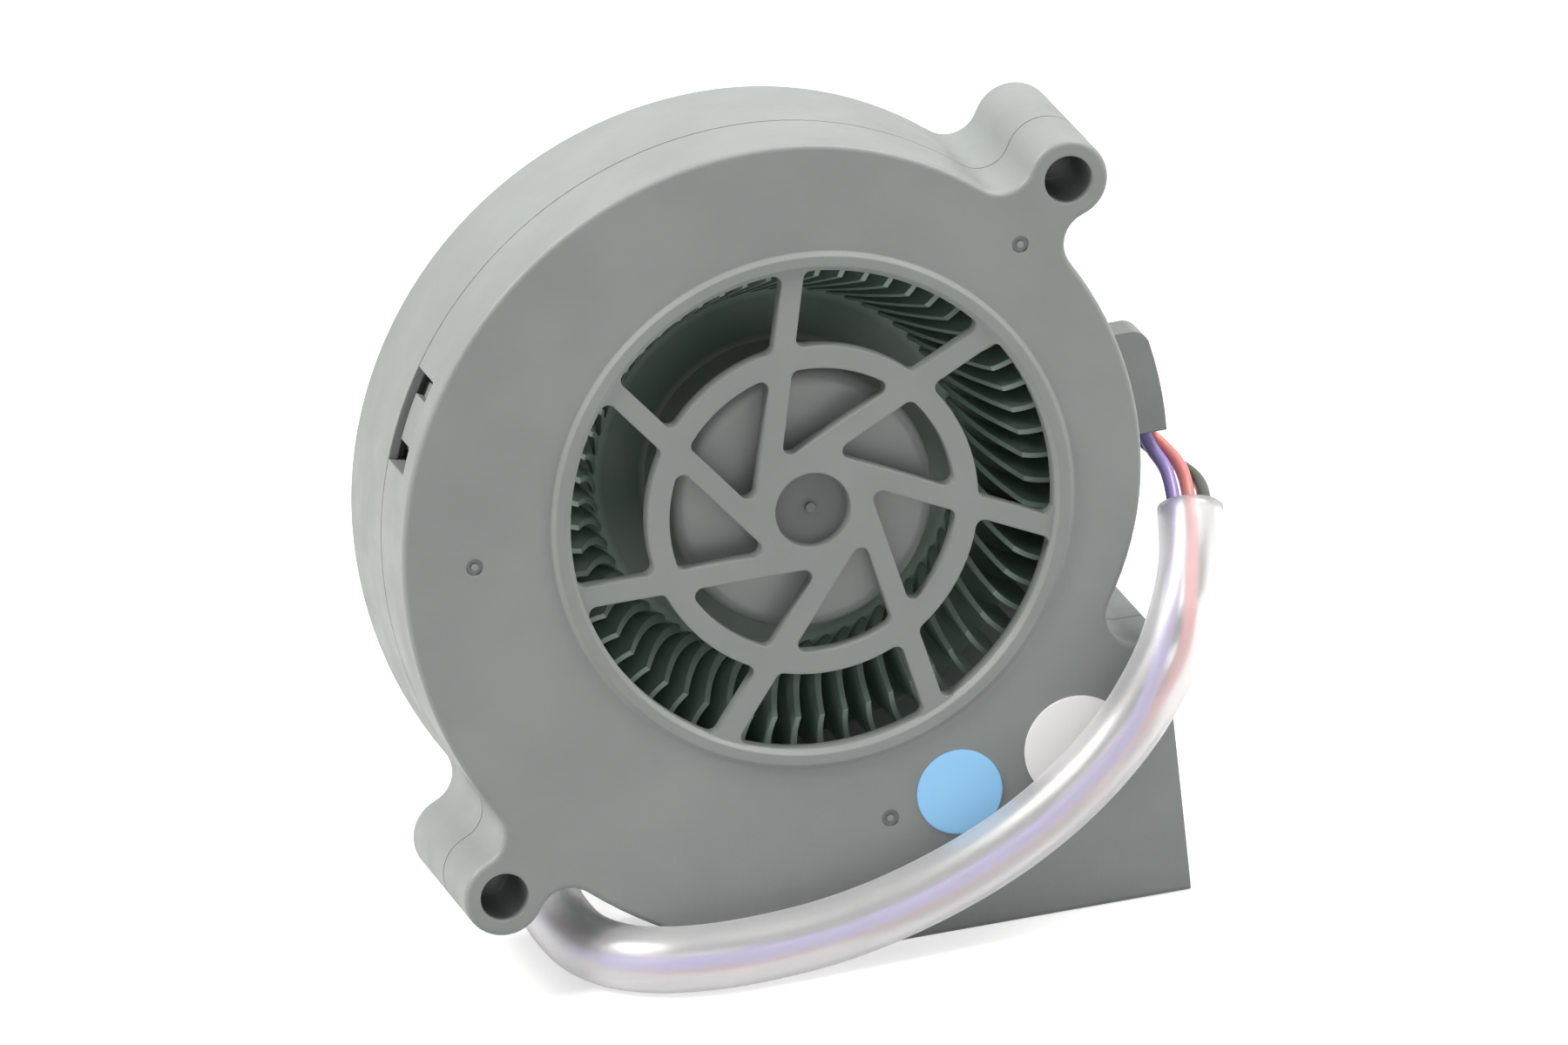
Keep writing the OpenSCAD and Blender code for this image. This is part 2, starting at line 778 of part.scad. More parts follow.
module magnet_ring() {
    color("#3a3a3c") upright() translate([0, 0, magnet_bottom])
        tube(cup_in, magnet_in, magnet_top - magnet_bottom);
}

module shaft() {
    color("gainsboro") upright() rotate_extrude() difference() {
        translate([0, shaft_bottom]) square([shaft_r, shaft_top - shaft_bottom]);
        translate([shaft_r - clip_groove, clip_base]) square([past, clip_t]);
    }
}

module retaining_clip() {
    color("black") upright() translate([0, 0, clip_base]) linear_extrude(clip_t) difference() {
        ring_2d(clip_r, shaft_r - clip_groove);
        translate([-clip_mouth / 2, 0]) square([clip_mouth, clip_r + past]);
    }
}

module preload_washer() {
    color("steelblue") upright() translate([0, 0, front_bearing_base + bearing_w])
        tube(shaft_r + washer_w, shaft_r, washer_t);
}

module bearing_tube() {
    color("goldenrod") upright() rotate_extrude() difference() {
        translate([0, back_wall]) square([tube_r, tube_top - back_wall]);
        translate([-past, back_wall - past]) square([shoulder_r + past, tube_top]);
        translate([0, rear_bearing_base - clip_room]) square([bearing_r, bearing_w + clip_room]);
        translate([0, front_bearing_base]) square([bearing_r, bearing_w + past]);
    }
}

module outer_race(base) {
    translate([0, 0, base]) rotate_extrude() difference() {
        translate([race_middle + race_gap / 2, 0])
            square([bearing_r - race_middle - race_gap / 2, bearing_w]);
        translate([race_middle, bearing_w / 2]) circle(race_groove_r);
    }
}

module inner_race(base) {
    translate([0, 0, base]) rotate_extrude() difference() {
        translate([shaft_r, 0]) square([race_middle - race_gap / 2 - shaft_r, bearing_w]);
        translate([race_middle, bearing_w / 2]) circle(race_groove_r);
    }
}

module front_bearing_outer() {
    color("lightsteelblue") upright() outer_race(front_bearing_base);
}

module front_bearing_inner() {
    color("lightsteelblue") upright() inner_race(front_bearing_base);
}

module rear_bearing_outer() {
    color("lightsteelblue") upright() outer_race(rear_bearing_base);
}

module rear_bearing_inner() {
    color("lightsteelblue") upright() inner_race(rear_bearing_base);
}

module bearing_balls() {
    color("white") upright()
        for (base = [front_bearing_base, rear_bearing_base], i = [0:ball_count - 1])
            rotate(360 * i / ball_count) translate([race_middle, 0, base + bearing_w / 2])
                sphere(race_groove_r - running_fit);
}

// Plan of the stator: a hub, arms and curved pole shoes
module stator_plan(shrink) {
    ring_2d(core_hub_r - shrink, tube_r);
    for (i = [0:pole_count - 1]) rotate(first_arm + 360 * i / pole_count) {
        translate([core_hub_r - core_hub_w / 2, -pole_w / 2 + shrink])
            square([shoe_in + shoe_t / 2 - core_hub_r + core_hub_w / 2, pole_w - 2 * shrink]);
        intersection() {
            ring_2d(core_r - shrink, shoe_in);
            polygon([[0, 0], 2 * core_r * [cos(shoe_half), -sin(shoe_half)],
                2 * core_r * [cos(shoe_half), sin(shoe_half)]]);
        }
    }
}

module stator_core() {
    color("slategray") upright() translate([0, 0, core_bottom]) linear_extrude(core_h) stator_plan(0);
}

module front_insulator() {
    color("white") upright() translate([0, 0, core_top]) linear_extrude(insulator_t) stator_plan(fit);
}

module rear_insulator() {
    color("white") upright() translate([0, 0, core_bottom - insulator_t])
        linear_extrude(insulator_t) stator_plan(fit);
}

// One coil round each pole arm, over the insulators
module stator_windings() {
    low = core_bottom - insulator_t;
    high = core_top + insulator_t;
    coil_start = core_hub_r + fit;
    coil_half = pole_w / 2 + coil_t;
    coil_l = sqrt(shoe_in * shoe_in - coil_half * coil_half) - coil_start - fit;
    color("peru") upright()
        for (i = [0:pole_count - 1]) rotate(first_arm + 360 * i / pole_count)
            difference() {
                translate([coil_start, -coil_half, low - coil_t])
                    cube([coil_l, 2 * coil_half, high - low + 2 * coil_t]);
                translate([coil_start - past, -pole_w / 2, low])
                    cube([coil_l + 2 * past, pole_w, high - low]);
            }
}

// Pins that carry the coil ends down to the circuit board
module terminal_pins() {
    color("gold") upright()
        for (i = [0:pole_count - 1]) rotate(first_pin + 360 * i / pole_count)
            translate([pin_ring, 0, board_base])
                cylinder(h = core_bottom - insulator_t - board_base, r = pin_r);
}

module circuit_board() {
    color("darkgreen") upright() translate([0, 0, board_base]) linear_extrude(board_t) difference() {
        ring_2d(board_d / 2, tube_r + fit);
        for (i = [0:pole_count - 1]) rotate(first_pin + 360 * i / pole_count)
            translate([pin_ring, 0]) circle(pin_r);
    }
}

// A block that stands on the circuit board
module on_board(place, size) {
    upright() translate([place.x, place.y, board_top]) cube(size);
}

module driver_chip() {
    color("#202022") on_board(chip_place, chip_size);
}

module hall_sensor() {
    color("#202022") on_board(sensor_place, sensor_size);
}

module board_parts() {
    color("tan") for (p = small_parts) on_board(p, small_part_size);
}

// One wire: from the board through the trough and hood to the sleeve, then on to the connector
module lead(number) {
    side = wire_rows[number];
    trough_y = -trough_depth + wire_d / 2 + 2 * fit;
    row = trough_z + side * wire_pitch;
    start = sleeve_start + side * wire_pitch * across(start_dir) - wire_stop * start_dir;
    board_end = [[lead_x, -board_base, row], [lead_x, -board_base + lead_stub, row],
        [lead_x + lead_bend, trough_y, row], [lead_rise, trough_y, row]];
    cord(concat(board_end, hood_routes[number], [start - start_dir, start]), wire_d, 8);
    leave = sleeve_end - side * wire_pitch * across(end_dir) + wire_stop * end_dir;
    plug = [connector_x, connector_y + side * contact_pitch, floor_z + connector_h / 2];
    cord([leave, leave + 2 * end_dir, plug - [plug_run, 0, 0], plug], wire_d, 8);
}

module lead_violet() {
    color("slateblue") lead(0);
}

module lead_red() {
    color("crimson") lead(1);
}

module lead_dark() {
    color("darkslategray") lead(2);
}

module wire_sleeve() {
    color("ghostwhite") cord(sleeve_route, sleeve_d, 10);
}

// Places of the three contacts, at the closed end of their slots
module at_contacts() {
    for (side = [-1:1])
        translate([connector_x + connector_back, connector_y + side * contact_pitch - contact_s / 2,
            floor_z + (connector_h - contact_s) / 2])
            children();
}

module connector_housing() {
    color("ivory") difference() {
        union() {
            translate([connector_x, connector_y - connector_w / 2, floor_z])
                cube([connector_l, connector_w, connector_h]);
            translate([connector_x + connector_back, connector_y - ramp.y / 2, floor_z + connector_h])
                cube(ramp);
        }
        at_contacts() cube([connector_l, contact_s, contact_s]);
    }
}

// Box contacts, open at the mouth of the connector
module connector_contacts() {
    inner = contact_s - 2 * contact_t;
    color("gold") at_contacts() difference() {
        cube([contact_l, contact_s, contact_s]);
        translate([connector_back, contact_t, contact_t]) cube([connector_l, inner, inner]);
    }
}

module dot(x, up, d) {
    upright() translate([x, scroll_bottom + up, housing_depth]) cylinder(h = dot_t, d = d);
}

module blue_dot() {
    color("royalblue") dot(blue_dot_x, blue_dot_up, blue_dot_d);
}

module white_dot() {
    color("whitesmoke") dot(white_dot_x, white_dot_up, white_dot_d);
}

rear_housing();
front_cover();
impeller();
rotor_cup();
magnet_ring();
shaft();
retaining_clip();
preload_washer();
bearing_tube();
front_bearing_outer();
front_bearing_inner();
rear_bearing_outer();
rear_bearing_inner();
bearing_balls();
stator_core();
front_insulator();
rear_insulator();
stator_windings();
terminal_pins();
circuit_board();
driver_chip();
hall_sensor();
board_parts();
lead_violet();
lead_red();
lead_dark();
wire_sleeve();
connector_housing();
connector_contacts();
blue_dot();
white_dot();
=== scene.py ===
import json
import math

import bpy
from mathutils import Matrix, Vector


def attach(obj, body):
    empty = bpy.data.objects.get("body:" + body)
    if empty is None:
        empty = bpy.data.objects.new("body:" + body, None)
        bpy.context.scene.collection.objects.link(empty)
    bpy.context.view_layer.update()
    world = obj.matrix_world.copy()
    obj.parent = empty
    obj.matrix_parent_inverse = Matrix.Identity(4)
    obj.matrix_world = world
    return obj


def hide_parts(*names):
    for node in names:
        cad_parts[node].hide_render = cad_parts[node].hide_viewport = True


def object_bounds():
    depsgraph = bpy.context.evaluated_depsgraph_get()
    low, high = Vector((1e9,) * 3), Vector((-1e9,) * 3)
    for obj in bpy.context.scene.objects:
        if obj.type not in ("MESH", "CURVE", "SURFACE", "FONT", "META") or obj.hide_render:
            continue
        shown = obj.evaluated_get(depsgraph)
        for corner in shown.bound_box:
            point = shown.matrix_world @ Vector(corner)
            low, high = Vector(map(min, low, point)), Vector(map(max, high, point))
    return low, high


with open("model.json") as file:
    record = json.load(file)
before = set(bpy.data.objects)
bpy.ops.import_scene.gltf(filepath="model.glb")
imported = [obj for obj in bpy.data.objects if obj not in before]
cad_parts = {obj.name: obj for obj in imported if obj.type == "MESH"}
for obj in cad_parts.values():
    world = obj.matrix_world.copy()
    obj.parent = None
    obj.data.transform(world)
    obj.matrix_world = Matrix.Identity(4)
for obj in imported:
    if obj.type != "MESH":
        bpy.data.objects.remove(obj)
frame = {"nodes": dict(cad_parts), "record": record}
cad_box = [[float(c) for c in corner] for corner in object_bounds()]
nodes = frame["nodes"]
scene = bpy.context.scene
scene.view_settings.view_transform = "Standard"
MM = 0.001
UP = Vector((0, 0, 1))
WHITE = (1, 1, 1, 1)

# Camera: the photograph's view, with lengths in millimetres
SIGHT_LINE = Vector((0.2028, 0.9303, -0.3074))
PICTURE_RIGHT = Vector((0.9647, -0.244, -0.1019))
PICTURE_MIDDLE = Vector((0, -21, 0))
SHIFT_RIGHT = -2.7
SHIFT_UP = -1.113
PICTURE_WIDTH = 145.16
CAMERA_FAR = 3000
SENSOR_WIDTH = 36
CLIP_END = 20


def make_camera():
    """Camera at the photograph's viewing angle, far off, so that the view is nearly parallel."""
    back = -SIGHT_LINE.normalized()
    right = (PICTURE_RIGHT - PICTURE_RIGHT.dot(back) * back).normalized()
    up = back.cross(right)
    middle = PICTURE_MIDDLE + SHIFT_RIGHT * right + SHIFT_UP * up
    data = bpy.data.cameras.new("camera")
    data.sensor_width = SENSOR_WIDTH
    data.lens = SENSOR_WIDTH * CAMERA_FAR / PICTURE_WIDTH
    data.clip_end = CLIP_END
    camera = bpy.data.objects.new("camera", data)
    axes = Matrix((right, up, back)).transposed().to_4x4()
    camera.matrix_world = Matrix.Translation((middle + CAMERA_FAR * back) * MM) @ axes
    scene.collection.objects.link(camera)
    scene.camera = camera


make_camera()

# Lead: three wires in one translucent sleeve, in millimetres, on the routes of the part's source
SLEEVE_D = 6.2
SLEEVE_WALL = 0.8
SLEEVE_SIDES = 32
SLEEVE_STEP = 0.9
WIRE_D = 1.3
WIRE_SIDES = 12
WIRE_STEP = 0.7
WIRE_PITCH = 1.45
BUNDLE_PITCH = 2.1
SLEEVE_ROUTE = [
    (36.4, -17.8, -7.2), (35.3, -21, -11), (33.4, -23.4, -15), (30.8, -24.6, -19.6),
    (26.6, -24.6, -25.2), (21, -24.5, -30.2), (14.2, -24.5, -34.3), (6.4, -24.5, -37.4),
    (-2, -24.6, -39.4), (-10.2, -24.9, -40), (-17, -24.2, -40), (-21.8, -21, -40),
    (-24.4, -15.4, -40), (-25, -8, -40), (-24.4, 0.4, -40), (-22, 8.4, -40),
    (-17.4, 15.4, -40), (-11, 20.4, -40), (-3.6, 23.2, -40), (0.4, 23.8, -40),
]
# The trough's route is in X and Y; the wires lie in it side by side, the red one at this height
TROUGH_ROUTE = [(8, -3.2), (8.1, -2.2), (9.4, -0.75), (12, -0.75), (18, -0.75), (24, -0.75), (30.5, -0.75)]
TROUGH_LEVEL = 3.2
HOOD_ROUTES = {
    "violet": [(33.6, -0.9, 4.6), (33.8, -4, 4.6), (34, -8, 4.2), (34.1, -10, 2), (34.3, -10.4, -1),
               (34.8, -11.2, -2.8), (35.4, -14, -4.5)],
    "red": [(33.6, -0.9, 3.2), (33.8, -3.6, 3.1), (33.9, -6.6, 2.2), (34, -8.4, -0.8),
            (35.8, -10.4, -2.8), (36.9, -13.4, -4.6)],
    "dark": [(33.6, -0.9, 1.8), (33.7, -2.8, 1.6), (33.7, -4.8, 0.2), (34, -6.2, -1.8),
             (35.6, -8.6, -4), (38.2, -13, -5.8)],
}
# Each wire's place in the flat rows, in pitches to one side of the red one
ROWS = {"violet": 1, "red": 0, "dark": -1}
PLUG_RUN = (6, 7.5, 9.4)
PLUG_Y = 24.6
PLUG_PITCH = 2
PLUG_Z = -40.7
# Shares of the sleeve's length: where the wires are bunched and twisted, and where they spread again
BUNCHED_BY = 0.12
TWISTED_BY = 0.18
SPREAD_FROM = 0.75
SPREAD_RUN = 0.2
# Degrees that the bundle twists, and that it twists back as it spreads
BUNDLE_TWIST = 210
TWIST_BACK = 30
# Heights in the bundle, as shares of its radius: the middle wire lies over the other two
MIDDLE_RISE = 1
OUTER_RISE = -0.5
# The wires' routes take every fourth point of the sleeve's line
ROUTE_SKIP = 4
FIRST_SIDE = Vector((0.3, 0.2, 1))
TINY = 1e-6


def smooth_line(points, step):
    """Points every step or so along a smooth curve through the given ones."""
    points = [Vector(p) for p in points]
    last = len(points) - 1
    line = []
    for i in range(last):
        a, b = points[max(i - 1, 0)], points[i]
        c, d = points[i + 1], points[min(i + 2, last)]
        span = (c - b).length
        into = (c - a) * (span / max((c - a).length, TINY))
        out = (d - b) * (span / max((d - b).length, TINY))
        count = max(2, round(span / step))
        for k in range(count):
            t = k / count
            line.append((2 * t**3 - 3 * t**2 + 1) * b + (t**3 - 2 * t**2 + t) * into
                        + (3 * t**2 - 2 * t**3) * c + (t**3 - t**2) * out)
    line.append(points[-1])
    return line


def headings(line):
    """Direction of a line at each of its points."""
    last = len(line) - 1
    return [(line[min(i + 1, last)] - line[max(i - 1, 0)]).normalized() for i in range(last + 1)]


def ease(t):
    """Smooth step from 0 to 1."""
    t = min(1, max(0, t))
    return t * t * (3 - 2 * t)


def tube_mesh(name, line, radii, sides):
    """A closed skin: rings of the given radii swept along the line, out and back if there are two."""
    hollow = len(radii) == 2
    side = FIRST_SIDE
    frames = []
    for heading in headings(line):
        side = (side - heading * side.dot(heading)).normalized()
        frames.append((side, heading.cross(side)))
    rings = [(i, radii[0]) for i in range(len(line))]
    if hollow:
        rings += [(i, radii[1]) for i in reversed(range(len(line)))]
    verts = []
    for i, radius in rings:
        across, beside = frames[i]
        for s in range(sides):
            angle = 2 * math.pi * s / sides
            verts.append((line[i] + radius * (math.cos(angle) * across + math.sin(angle) * beside)) * MM)
    faces = []
    count = len(rings)
    for k in range(count if hollow else count - 1):
        here = k * sides
        there = (k + 1) % count * sides
        for s in range(sides):
            e = (s + 1) % sides
            faces.append((here + s, here + e, there + e, there + s))
    if not hollow:
        faces.append(tuple(reversed(range(sides))))
        faces.append(tuple((count - 1) * sides + s for s in range(sides)))
    mesh = bpy.data.meshes.new(name)
    mesh.from_pydata(verts, [], faces)
    for face in mesh.polygons:
        face.use_smooth = len(face.vertices) == 4
    mesh.update()
    piece = bpy.data.objects.new(name, mesh)
    scene.collection.objects.link(piece)
    return piece


sleeve_line = smooth_line(SLEEVE_ROUTE, SLEEVE_STEP)
sleeve_turns = headings(sleeve_line)


def wire_in_sleeve(row, i):
    """A wire's place at a point of the sleeve: in a flat row at its ends, in a twisted bundle between."""
    share = i / (len(sleeve_line) - 1)
    spread = ease((share - SPREAD_FROM) / SPREAD_RUN)
    bunch = ease(share / BUNCHED_BY) * (1 - spread)
    turn = math.radians(BUNDLE_TWIST * ease(share / TWISTED_BY) - TWIST_BACK * spread)
    level = sleeve_turns[i].cross(UP).normalized()
    lift = level.cross(sleeve_turns[i])
    along = math.cos(turn) * level + math.sin(turn) * lift
    beside = math.cos(turn) * lift - math.sin(turn) * level
    pitch = WIRE_PITCH + (BUNDLE_PITCH - WIRE_PITCH) * bunch
    rise = (MIDDLE_RISE if row == 0 else OUTER_RISE) * bunch * pitch / math.sqrt(3)
    return sleeve_line[i] + row * pitch * (1 - bunch / 2) * along + rise * beside


def wire_line(colour):
    """From the board through the trough, hood and sleeve to the connector."""
    row = ROWS[colour]
    trough = [(x, y, TROUGH_LEVEL + row * WIRE_PITCH) for x, y in TROUGH_ROUTE]
    inside = [wire_in_sleeve(row, i) for i in range(0, len(sleeve_line), ROUTE_SKIP)]
    plug = [(x, PLUG_Y + row * PLUG_PITCH, PLUG_Z) for x in PLUG_RUN]
    return smooth_line(trough + HOOD_ROUTES[colour] + inside + plug, WIRE_STEP)


wires = {}
for colour in ROWS:
    line = wire_line(colour)
    wire = tube_mesh("wire_" + colour, line, [WIRE_D / 2], WIRE_SIDES)
    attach(wire, "housing")
    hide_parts("lead_" + colour)
    wires[colour] = wire

sleeve = tube_mesh("sleeve_tube", sleeve_line, [SLEEVE_D / 2, SLEEVE_D / 2 - SLEEVE_WALL], SLEEVE_SIDES)
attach(sleeve, "housing")
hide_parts("wire_sleeve")

# Materials: each is a shader with its own small nodes for mottling, grain and gloss.
# First come the part of a noise's range that is used, and its fineness for colour and for grain.
NOISE_LOW = 0.3
NOISE_HIGH = 0.7
MOTTLE_DETAIL = 3
MOTTLE_ROUGH = 0.55
GRAIN_DETAIL = 2
GRAIN_ROUGH = 0.5
BEVEL_SAMPLES = 6
# The rotor's axis lies along Y, so X and Z tell how far a point is from it
ACROSS_AXIS = (1, 0, 1)
# Colour, roughness from and to, spread of the colour, strength of the grain
MOULDED = {
    "housing_plastic": ((0.222, 0.245, 0.24), (0.42, 0.56), 0.06, 0.4),
    "ferrite": ((0.045, 0.045, 0.048), (0.6, 0.75), 0.15, 0.3),
    "white_nylon": ((0.78, 0.77, 0.72), (0.35, 0.48), 0.03, 0.06),
    "board_green": ((0.03, 0.16, 0.07), (0.25, 0.36), 0.12, 0.05),
    "chip_black": ((0.025, 0.025, 0.027), (0.45, 0.6), 0.1, 0.2),
    "chip_tan": ((0.42, 0.31, 0.19), (0.4, 0.55), 0.12, 0.2),
    "paper_blue": ((0.31, 0.64, 0.99), (0.55, 0.7), 0.03, 0.15),
    "paper_white": ((0.94, 0.94, 0.94), (0.5, 0.65), 0.02, 0.15),
}
# Colour, roughness from and to, stretch of the grain
METALS = {
    "steel": ((0.6, 0.6, 0.61), (0.25, 0.4), None),
    "laminations": ((0.42, 0.43, 0.46), (0.4, 0.55), (1, 14, 1)),
    "brass": ((0.72, 0.52, 0.21), (0.25, 0.4), None),
    "copper": ((0.66, 0.28, 0.12), (0.22, 0.35), (1, 9, 9)),
}
INSULATION = {
    "wire_violet": (0.27, 0.215, 0.49),
    "wire_red": (0.66, 0.22, 0.2),
    "wire_dark": (0.09, 0.1, 0.08),
}
SOFT_EDGE = 0.25 * MM
# The round recess in the grille's middle: where its floor ends, and the painted shade that darkens that
# floor, as a tone beside the cover's
RECESS_EDGE = (3.5 * MM, 3.65 * MM)
RECESS_PAINTED_SHADE = (0.55, 0.56, 0.55)
FULL_TONE = (1, 1, 1)
# The wheel's tones, which paint light and shade onto one plastic, and the share of the way from the hub to
# the blades at which each stands
WHEEL_FINISH = ((0.96, 0.96, 0.96), (0.28, 0.4), 0.04, 0.12)
WHEEL_EDGE = 0.15 * MM
WHEEL_SPAN = (12.3 * MM, 18.3 * MM)
# Painted light on the hub and blades, and painted shade on the plate, which lies deep in shade
HUB_PAINTED_LIGHT = (0.34, 0.37, 0.36)
PLATE_PAINTED_SHADE = (0.125, 0.175, 0.15)
BLADE_PAINTED_LIGHT = (0.34, 0.45, 0.39)
WHEEL_PAINTED_LIGHT_AND_SHADE = [(0, HUB_PAINTED_LIGHT), (0.15, PLATE_PAINTED_SHADE), (0.7, PLATE_PAINTED_SHADE), (1, BLADE_PAINTED_LIGHT)]
SLEEVE_TINT = (0.965, 0.97, 0.985)


class Tree:
    """A cleared node tree, with short ways to add and link its nodes."""

    def __init__(self, owner):
        owner.use_nodes = True
        self.tree = owner.node_tree
        self.tree.nodes.clear()

    def add(self, kind, inputs=None, **settings):
        node = self.tree.nodes.new(kind)
        for key, value in settings.items():
            setattr(node, key, value)
        for key, value in (inputs or {}).items():
            node.inputs[key].default_value = value
        return node

    def link(self, source, target):
        self.tree.links.new(source, target)

    def seen_rays(self):
        """1 for the rays that show the background: from the camera, off gloss and through glass."""
        path = self.add("ShaderNodeLightPath")
        seen = path.outputs["Is Camera Ray"]
        for kind in ("Is Glossy Ray", "Is Transmission Ray"):
            either = self.add("ShaderNodeMath", operation="MAXIMUM")
            self.link(seen, either.inputs[0])
            self.link(path.outputs[kind], either.inputs[1])
            seen = either.outputs[0]
        return seen


class Look(Tree):
    """A material in the making; most of its calls give it back, so that they can follow each other."""

    def __init__(self, name):
        self.material = bpy.data.materials.new(name)
        super().__init__(self.material)
        self.shader = self.add("ShaderNodeBsdfPrincipled")
        out = self.add("ShaderNodeOutputMaterial")
        self.link(self.shader.outputs[0], out.inputs["Surface"])
        self.place = self.add("ShaderNodeTexCoord").outputs["Object"]

    def set(self, **values):
        """Values that are the same all over the surface."""
        for key, value in values.items():
            self.shader.inputs[key.replace("_", " ")].default_value = value
        return self

    def noise(self, scale, detail=MOTTLE_DETAIL, rough=MOTTLE_ROUGH, stretch=None):
        place = self.place
        if stretch:
            mapping = self.add("ShaderNodeMapping", {"Scale": stretch})
            self.link(place, mapping.inputs["Vector"])
            place = mapping.outputs[0]
        node = self.add("ShaderNodeTexNoise", {"Scale": scale, "Detail": detail, "Roughness": rough})
        self.link(place, node.inputs["Vector"])
        return node.outputs["Fac"]

    def ramp(self, value, stops):
        """Colour from a value between 0 and 1, by stops of value and colour."""
        node = self.add("ShaderNodeValToRGB")
        elements = node.color_ramp.elements
        while len(elements) < len(stops):
            elements.new(0.5)
        for element, (at, colour) in zip(elements, stops):
            element.position = at
            element.color = (*colour, 1)
        self.link(value, node.inputs["Fac"])
        return node.outputs["Color"]

    def map_range(self, value, low, high, to_low=0, to_high=1):
        """Takes low to high in the value to the other two numbers, and stays at these beyond."""
        ends = {"From Min": low, "From Max": high, "To Min": to_low, "To Max": to_high}
        node = self.add("ShaderNodeMapRange", ends)
        self.link(value, node.inputs["Value"])
        return node.outputs[0]

    def mottle(self, colour, scale, spread):
        """Base colour that wanders a little to both sides of the given one."""
        low = tuple(c * (1 - spread) for c in colour)
        high = tuple(min(1, c * (1 + spread)) for c in colour)
        tint = self.ramp(self.noise(scale), [(NOISE_LOW, low), (NOISE_HIGH, high)])
        self.link(tint, self.shader.inputs["Base Color"])
        return self

    def from_axis(self, low, high):
        """0 nearer to the rotor's axis than low, 1 further off than high."""
        across = self.add("ShaderNodeVectorMath", {1: ACROSS_AXIS}, operation="MULTIPLY")
        self.link(self.place, across.inputs[0])
        reach = self.add("ShaderNodeVectorMath", operation="LENGTH")
        self.link(across.outputs[0], reach.inputs[0])
        return self.map_range(reach.outputs["Value"], low, high)

    def shade(self, tone):
        """Multiplies the base colour by the given tone."""
        base = self.shader.inputs["Base Color"]
        both = self.add("ShaderNodeMix", {"Factor": 1}, data_type="RGBA", blend_type="MULTIPLY")
        self.link(base.links[0].from_socket, both.inputs["A"])
        self.link(tone, both.inputs["B"])
        self.link(both.outputs["Result"], base)
        return self

    def gloss(self, scale, low, high):
        """Roughness that wanders between the two values."""
        rough = self.map_range(self.noise(scale), NOISE_LOW, NOISE_HIGH, low, high)
        self.link(rough, self.shader.inputs["Roughness"])
        return self

    def grain(self, scale, strength, height, stretch=None, edge=0):
        """Fine surface texture, over edges that are softened by the given radius."""
        bump = self.add("ShaderNodeBump", {"Strength": strength, "Distance": height})
        if edge:
            soft = self.add("ShaderNodeBevel", {"Radius": edge}, samples=BEVEL_SAMPLES)
            self.link(soft.outputs[0], bump.inputs["Normal"])
        self.link(self.noise(scale, GRAIN_DETAIL, GRAIN_ROUGH, stretch), bump.inputs["Height"])
        self.link(bump.outputs[0], self.shader.inputs["Normal"])
        return self


def moulded(name, colour, rough, spread, grain, edge=SOFT_EDGE):
    """Moulded plastic, ceramic or paper, with a fine grain and soft edges."""
    look = Look(name).mottle(colour, scale=90, spread=spread).gloss(scale=220, low=rough[0], high=rough[1])
    look.grain(scale=2600, strength=grain, height=0.04 * MM, edge=edge)
    return look.set(Specular_IOR_Level=0.4)


def metal(name, colour, rough, stretch):
    """Bare metal, with a grain that may be drawn out in lines."""
    look = Look(name).mottle(colour, scale=300, spread=0.07).gloss(scale=700, low=rough[0], high=rough[1])
    look.grain(scale=1800, strength=0.08, height=0.02 * MM, stretch=stretch)
    return look.set(Metallic=1.0)


def insulation(name, colour):
    """Smooth wire insulation."""
    look = Look(name).mottle(colour, scale=400, spread=0.08).gloss(scale=600, low=0.28, high=0.4)
    look.grain(scale=900, strength=0.06, height=0.03 * MM)
    return look.set(Specular_IOR_Level=0.5)


def cover_look():
    """The housing's plastic, with painted shade darkening the floor of the round recess in the grille's
    middle.
    """
    look = moulded("cover_plastic", *MOULDED["housing_plastic"])
    # painted shade: the recess floor is darkened in colour, standing in for the shade that falls in it
    return look.shade(look.ramp(look.from_axis(*RECESS_EDGE), [(0, RECESS_PAINTED_SHADE), (1, FULL_TONE)]))


def wheel_look():
    """One dark moulding, with painted light and shade by distance from the axis: a lighter hub, a plate
    darkened as painted shade and lighter blades as painted light.
    """
    look = moulded("wheel_plastic", *WHEEL_FINISH, edge=WHEEL_EDGE)
    # painted light and shade, by distance from the rotor's axis
    return look.shade(look.ramp(look.from_axis(*WHEEL_SPAN), WHEEL_PAINTED_LIGHT_AND_SHADE))


def sleeve_look():
    """Milky, glossy tube that the wires show through."""
    look = Look("sleeve_clear").mottle(SLEEVE_TINT, scale=160, spread=0.02)
    look.gloss(scale=300, low=0.3, high=0.38).grain(scale=500, strength=0.08, height=0.05 * MM)
    return look.set(Transmission_Weight=0.88, IOR=1.35, Specular_IOR_Level=0.5, Sheen_Weight=1.0,
                    Sheen_Roughness=0.3, Coat_Weight=1.0, Coat_Roughness=0.32, Coat_IOR=1.6)


looks = {
    "cover_plastic": cover_look(),
    "wheel_plastic": wheel_look(),
    "sleeve_clear": sleeve_look(),
}
for slot, finish in MOULDED.items():
    looks[slot] = moulded(slot, *finish)
for slot, finish in METALS.items():
    looks[slot] = metal(slot, *finish)
for slot, tint in INSULATION.items():
    looks[slot] = insulation(slot, tint)


def dress(piece, slot):
    """Gives a piece the look of the slot, and no other."""
    piece.data.materials.clear()
    piece.data.materials.append(looks[slot].material)


for entry in frame["record"]["subparts"]:
    dress(nodes[entry["node"]], entry["material_slot"])
dress(nodes["front_cover"], "cover_plastic")
for colour, wire in wires.items():
    dress(wire, "wire_" + colour)
dress(sleeve, "sleeve_clear")

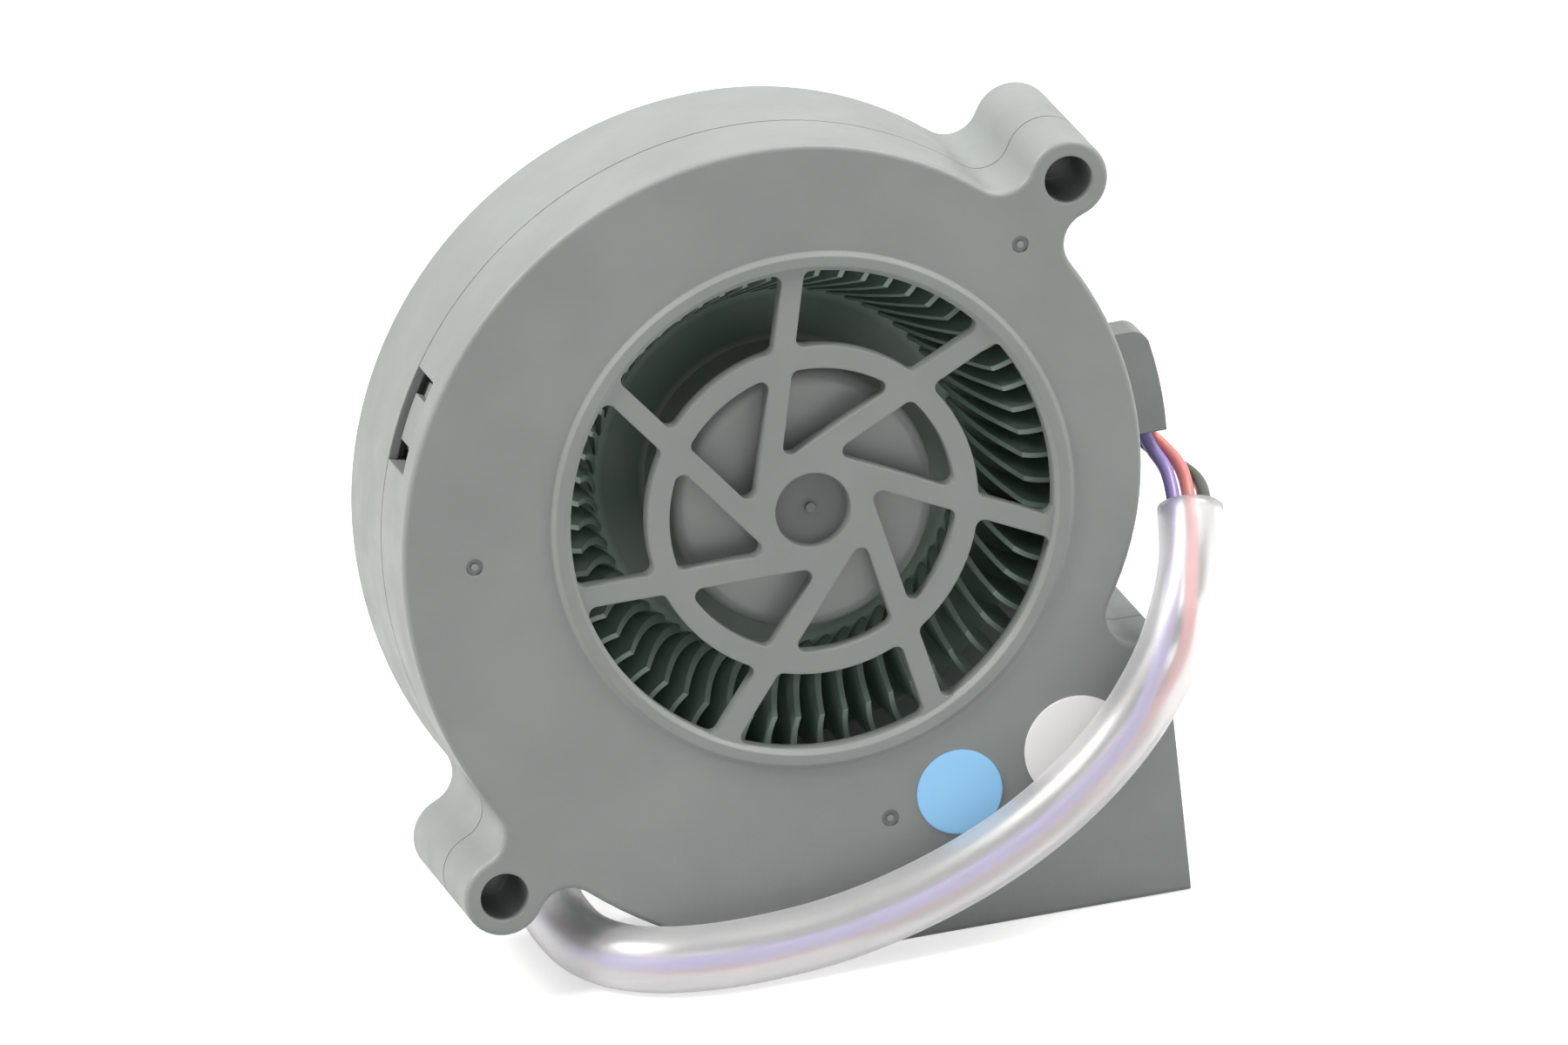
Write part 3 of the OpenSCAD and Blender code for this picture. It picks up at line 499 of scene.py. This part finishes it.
# Floor, light and background, in metres
FLOOR_Z = cad_box[0][2]
FLOOR_HALF = 0.8
FLOOR_GREY = (0.5, 0.5, 0.5, 1)
FLOOR_GLOW = 0.6
WORLD_LIGHT = 0.39
LAMP_AIM = Vector((0, -0.01, 0))
LAMP_FAR = 1.1
LAMP_TINT = (1, 0.965, 0.94)


def plain_floor():
    """Pale floor that shows white and keeps the object's shadow."""
    corners = [(x * FLOOR_HALF, y * FLOOR_HALF, FLOOR_Z) for x, y in ((-1, -1), (1, -1), (1, 1), (-1, 1))]
    mesh = bpy.data.meshes.new("floor")
    mesh.from_pydata(corners, [], [(0, 1, 2, 3)])
    floor = bpy.data.objects.new("floor", mesh)
    scene.collection.objects.link(floor)
    material = bpy.data.materials.new("floor_white")
    tree = Tree(material)
    matt = tree.add("ShaderNodeBsdfDiffuse", {"Color": FLOOR_GREY})
    glow = tree.add("ShaderNodeEmission", {"Color": WHITE})
    level = tree.add("ShaderNodeMath", {1: FLOOR_GLOW}, operation="MULTIPLY")
    both = tree.add("ShaderNodeAddShader")
    out = tree.add("ShaderNodeOutputMaterial")
    tree.link(tree.seen_rays(), level.inputs[0])
    tree.link(level.outputs[0], glow.inputs["Strength"])
    tree.link(matt.outputs[0], both.inputs[0])
    tree.link(glow.outputs[0], both.inputs[1])
    tree.link(both.outputs[0], out.inputs["Surface"])
    mesh.materials.append(material)


def white_world():
    """Even light from all round, and a background that shows white."""
    world = bpy.data.worlds.new("studio")
    scene.world = world
    tree = Tree(world)
    soft = tree.add("ShaderNodeBackground", {"Color": WHITE, "Strength": WORLD_LIGHT})
    white = tree.add("ShaderNodeBackground", {"Color": WHITE, "Strength": 1})
    mix = tree.add("ShaderNodeMixShader")
    out = tree.add("ShaderNodeOutputWorld")
    tree.link(tree.seen_rays(), mix.inputs["Fac"])
    tree.link(soft.outputs[0], mix.inputs[1])
    tree.link(white.outputs[0], mix.inputs[2])
    tree.link(mix.outputs[0], out.inputs["Surface"])


def soft_light(name, toward, size, power):
    """Round lamp in the given direction from the object, facing it."""
    data = bpy.data.lights.new(name, "AREA")
    data.shape = "DISK"
    data.size = size
    data.energy = power
    data.color = LAMP_TINT
    light = bpy.data.objects.new(name, data)
    direction = Vector(toward).normalized()
    light.location = LAMP_AIM + LAMP_FAR * direction
    light.rotation_euler = direction.to_track_quat("Z", "Y").to_euler()
    scene.collection.objects.link(light)


plain_floor()
white_world()
soft_light("key", toward=(-0.64, -0.1, 0.76), size=0.5, power=16.3)
soft_light("fill", toward=(0.6, -0.06, 0.8), size=0.6, power=12)
soft_light("side", toward=(0.9, -0.32, 0.3), size=0.5, power=3.5)
